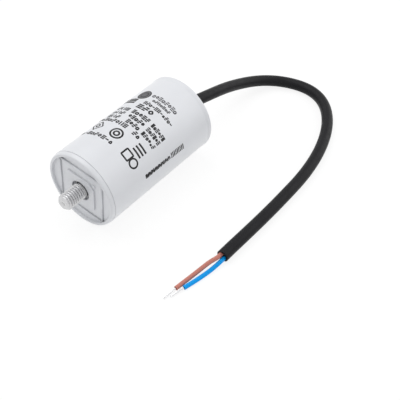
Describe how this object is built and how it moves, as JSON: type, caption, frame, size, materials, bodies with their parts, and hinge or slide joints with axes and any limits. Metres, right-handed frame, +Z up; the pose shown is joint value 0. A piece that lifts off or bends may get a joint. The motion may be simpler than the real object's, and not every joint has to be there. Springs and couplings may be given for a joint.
{
  "type": "motor run capacitor",
  "caption": "Round white plastic capacitor for a motor, with a threaded mounting stud on its ribbed end and a short two-core black cable with bare brown and blue ends",
  "frame": {"origin": "middle of the length of case, stud and lid, on the case's centre plane, at the height of the surface that the lip lies on", "axes": "X along the case's axis, the stud pointing to -X and the cable leaving at +X; Z up; Y to the side away from the cable's return"},
  "size_m": [0.1612, 0.0895, 0.0404],
  "materials": {
    "case_plastic": "satin moulded",
    "lid_plastic": "satin moulded",
    "stud_metal": "bright zinc plated thread",
    "film": "metallised film edge",
    "core_plastic": "plain moulded",
    "wrap_tape": "clear tape",
    "zinc": "sprayed, grainy",
    "solder": "dull solder",
    "resin": "cast",
    "sheath_pvc": "matt black",
    "brown_insulation": "satin",
    "blue_insulation": "satin",
    "tinned_copper": "tinned strands"
  },
  "bodies": {
    "root": {"case": "case_plastic", "mounting_stud": "stud_metal", "lid": "lid_plastic", "film_winding": "film", "winding_core": "core_plastic", "winding_wrap": "wrap_tape", "front_end_spray": "zinc", "rear_end_spray": "zinc", "front_solder": "solder", "rear_solder": "solder", "blue_lead": "blue_insulation", "brown_lead": "brown_insulation", "blue_lead_end": "tinned_copper", "brown_lead_end": "tinned_copper", "potting_resin": "resin", "cable_sheath": "sheath_pvc", "brown_core": "brown_insulation", "blue_core": "blue_insulation", "brown_strands": "tinned_copper", "blue_strands": "tinned_copper"}
  },
  "joints": []
}
